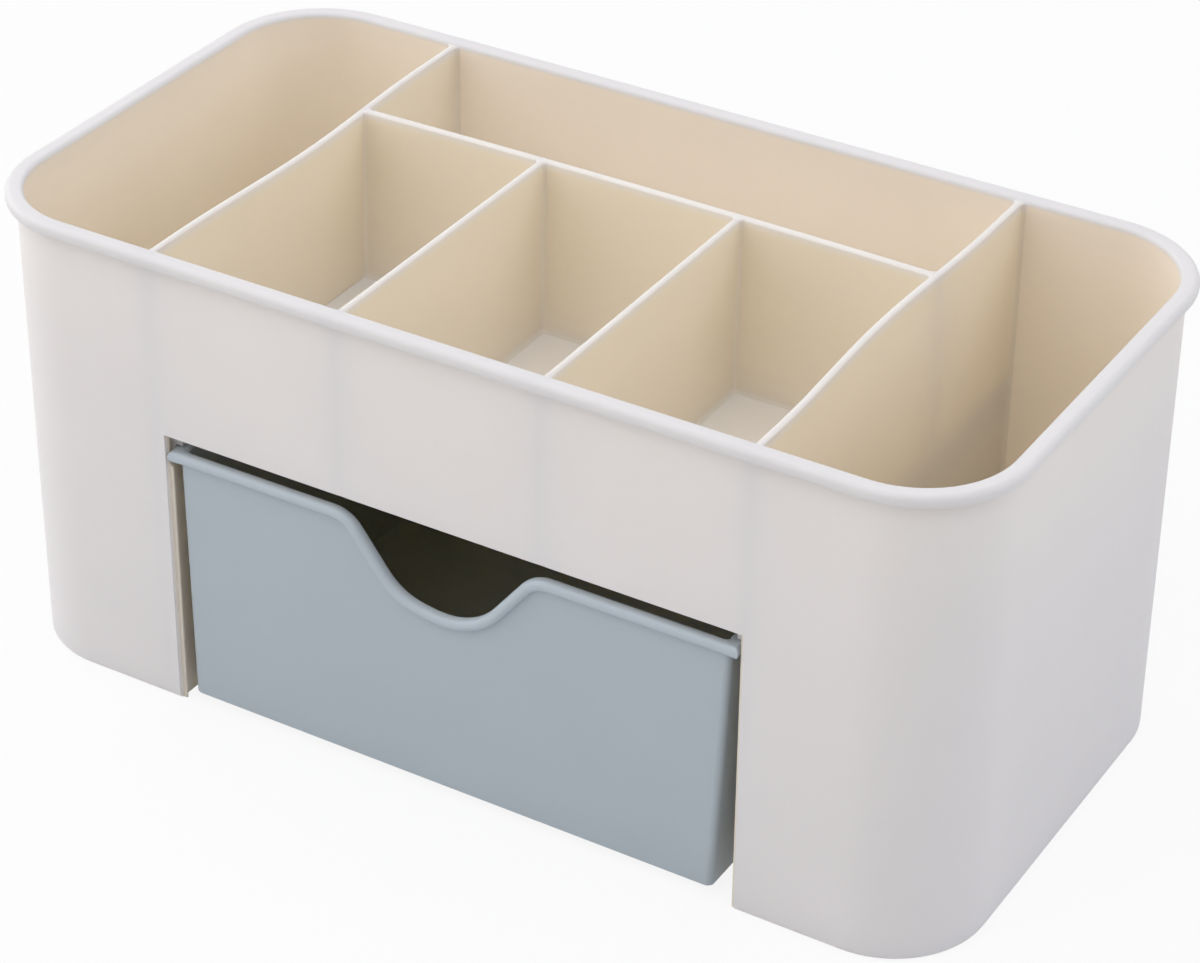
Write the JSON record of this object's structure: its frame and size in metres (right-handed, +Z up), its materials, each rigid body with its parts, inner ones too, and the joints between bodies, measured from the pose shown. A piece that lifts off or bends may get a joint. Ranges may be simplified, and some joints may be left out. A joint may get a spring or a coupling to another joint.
{
  "type": "cosmetic organizer box",
  "caption": "Low round-cornered desktop organizer with open compartments of several depths on top and a pull-out drawer with a wave-shaped finger notch below.",
  "frame": {"origin": "middle of the base, on the surface that the box stands on", "axes": "+X to the right along the long side, +Y to the back, +Z up; the drawer pulls out along -Y"},
  "size_m": [0.22, 0.113, 0.104],
  "materials": {
    "shell_plastic": "satin moulded polypropylene, warm white",
    "panel_plastic": "satin moulded polypropylene, cream",
    "drawer_plastic": "satin moulded polypropylene, blue-grey"
  },
  "bodies": {
    "case": {"outer_shell": "shell_plastic", "left_partition": "panel_plastic", "right_partition": "panel_plastic", "cross_divider": "panel_plastic", "left_front_divider": "panel_plastic", "right_front_divider": "panel_plastic", "tray_floor": "panel_plastic", "left_well_floor": "panel_plastic", "right_well_floor": "panel_plastic", "left_runner": "panel_plastic", "right_runner": "panel_plastic"},
    "drawer": {"drawer": "drawer_plastic"}
  },
  "joints": [
    {"name": "drawer_slide", "type": "slide", "parent": "case", "child": "drawer", "axis": [0, -1, 0], "range_m": [0, 0.085]}
  ]
}
